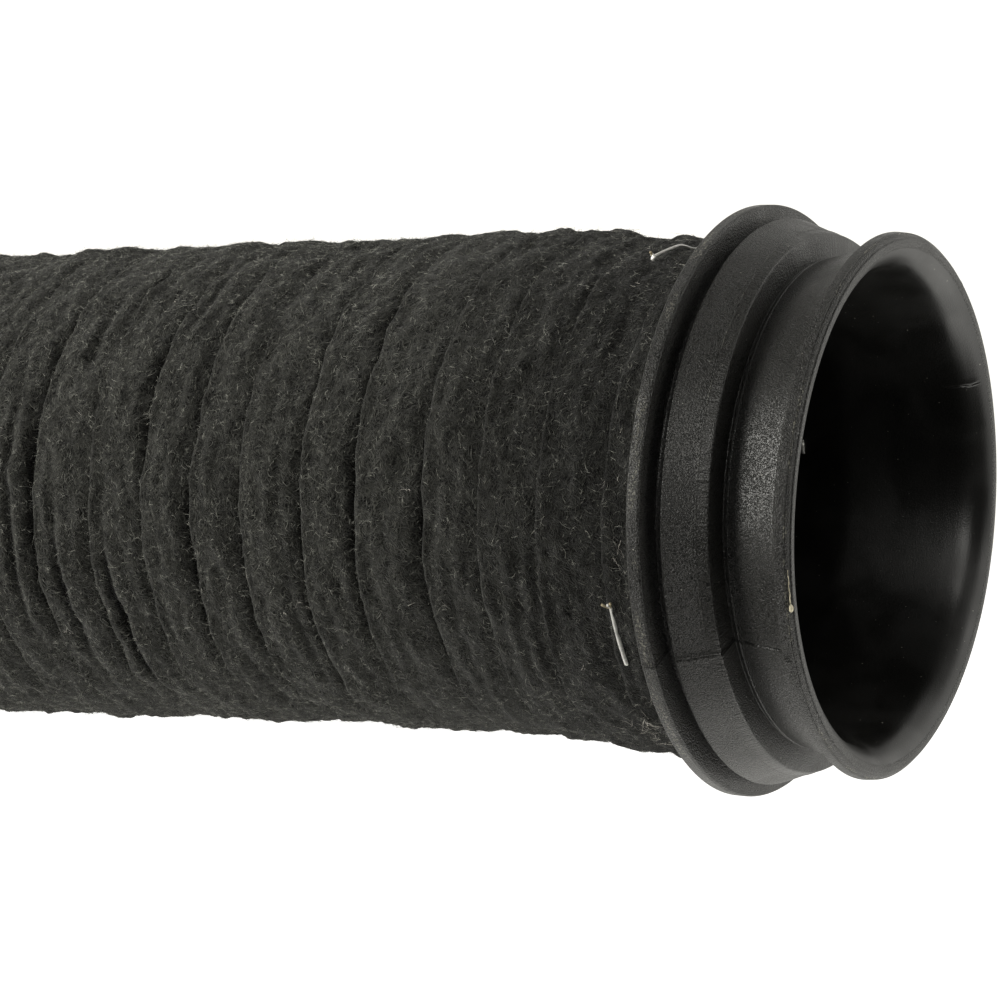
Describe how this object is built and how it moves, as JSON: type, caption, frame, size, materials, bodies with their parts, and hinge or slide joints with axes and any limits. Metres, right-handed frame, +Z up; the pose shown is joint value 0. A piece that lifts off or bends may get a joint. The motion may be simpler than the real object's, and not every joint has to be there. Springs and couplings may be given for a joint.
{
  "type": "flexible air duct",
  "caption": "Flexible air duct: a felt strip wound over a spring-wire helix, with a moulded rubber bell-mouth cuff that snaps into a panel stapled into each end.",
  "frame": {"origin": "on the floor under the middle of the duct, which lies on its two flanges", "axes": "+X along the duct towards the front mouth, +Z up, +Y to the far side as the picture sees it"},
  "size_m": [0.3662, 0.0962, 0.0962],
  "materials": {
    "rubber": "black moulded rubber, satin, lightly pebbled",
    "felt": "black needle felt, matt and fuzzy, with pale lint",
    "liner": "black coated fabric, matt",
    "spring_wire": "plain spring steel wire",
    "staple_wire": "bright zinc-plated wire"
  },
  "bodies": {
    "section_1": {"felt_cover_1": "felt", "liner_1": "liner", "spring_wire_1": "spring_wire", "front_cuff": "rubber", "front_staple_1": "staple_wire", "front_staple_2": "staple_wire", "front_staple_3": "staple_wire", "front_staple_4": "staple_wire"},
    "section_2": {"felt_cover_2": "felt", "liner_2": "liner", "spring_wire_2": "spring_wire"},
    "section_3": {"felt_cover_3": "felt", "liner_3": "liner", "spring_wire_3": "spring_wire"},
    "section_4": {"felt_cover_4": "felt", "liner_4": "liner", "spring_wire_4": "spring_wire"},
    "section_5": {"felt_cover_5": "felt", "liner_5": "liner", "spring_wire_5": "spring_wire"},
    "section_6": {"felt_cover_6": "felt", "liner_6": "liner", "spring_wire_6": "spring_wire"},
    "section_7": {"felt_cover_7": "felt", "liner_7": "liner", "spring_wire_7": "spring_wire"},
    "section_8": {"felt_cover_8": "felt", "liner_8": "liner", "spring_wire_8": "spring_wire"},
    "section_9": {"felt_cover_9": "felt", "liner_9": "liner", "spring_wire_9": "spring_wire", "rear_cuff": "rubber", "rear_staple_1": "staple_wire", "rear_staple_2": "staple_wire", "rear_staple_3": "staple_wire", "rear_staple_4": "staple_wire"}
  },
  "joints": [
    {"name": "bend_up_1", "type": "hinge", "parent": "section_1", "child": "section_2", "pos_m": [0.1155, 0, 0.0481], "axis": [0, 1, 0], "range_deg": [-10, 10], "stiffness_Nm_per_rad": 3},
    {"name": "bend_side_1", "type": "hinge", "parent": "section_2", "child": "section_3", "pos_m": [0.0825, 0, 0.0481], "axis": [0, 0, 1], "range_deg": [-10, 10], "stiffness_Nm_per_rad": 3},
    {"name": "bend_up_2", "type": "hinge", "parent": "section_3", "child": "section_4", "pos_m": [0.0495, 0, 0.0481], "axis": [0, 1, 0], "range_deg": [-10, 10], "stiffness_Nm_per_rad": 3},
    {"name": "stretch", "type": "slide", "parent": "section_4", "child": "section_5", "axis": [1, 0, 0], "range_m": [-0.004, 0.004], "stiffness_N_per_m": 2000},
    {"name": "twist", "type": "hinge", "parent": "section_5", "child": "section_6", "pos_m": [-0.0165, 0, 0.0481], "axis": [1, 0, 0], "range_deg": [-8, 8], "stiffness_Nm_per_rad": 2},
    {"name": "bend_side_2", "type": "hinge", "parent": "section_6", "child": "section_7", "pos_m": [-0.0495, 0, 0.0481], "axis": [0, 0, 1], "range_deg": [-10, 10], "stiffness_Nm_per_rad": 3},
    {"name": "bend_up_3", "type": "hinge", "parent": "section_7", "child": "section_8", "pos_m": [-0.0825, 0, 0.0481], "axis": [0, 1, 0], "range_deg": [-10, 10], "stiffness_Nm_per_rad": 3},
    {"name": "bend_side_3", "type": "hinge", "parent": "section_8", "child": "section_9", "pos_m": [-0.1155, 0, 0.0481], "axis": [0, 0, 1], "range_deg": [-10, 10], "stiffness_Nm_per_rad": 3}
  ]
}
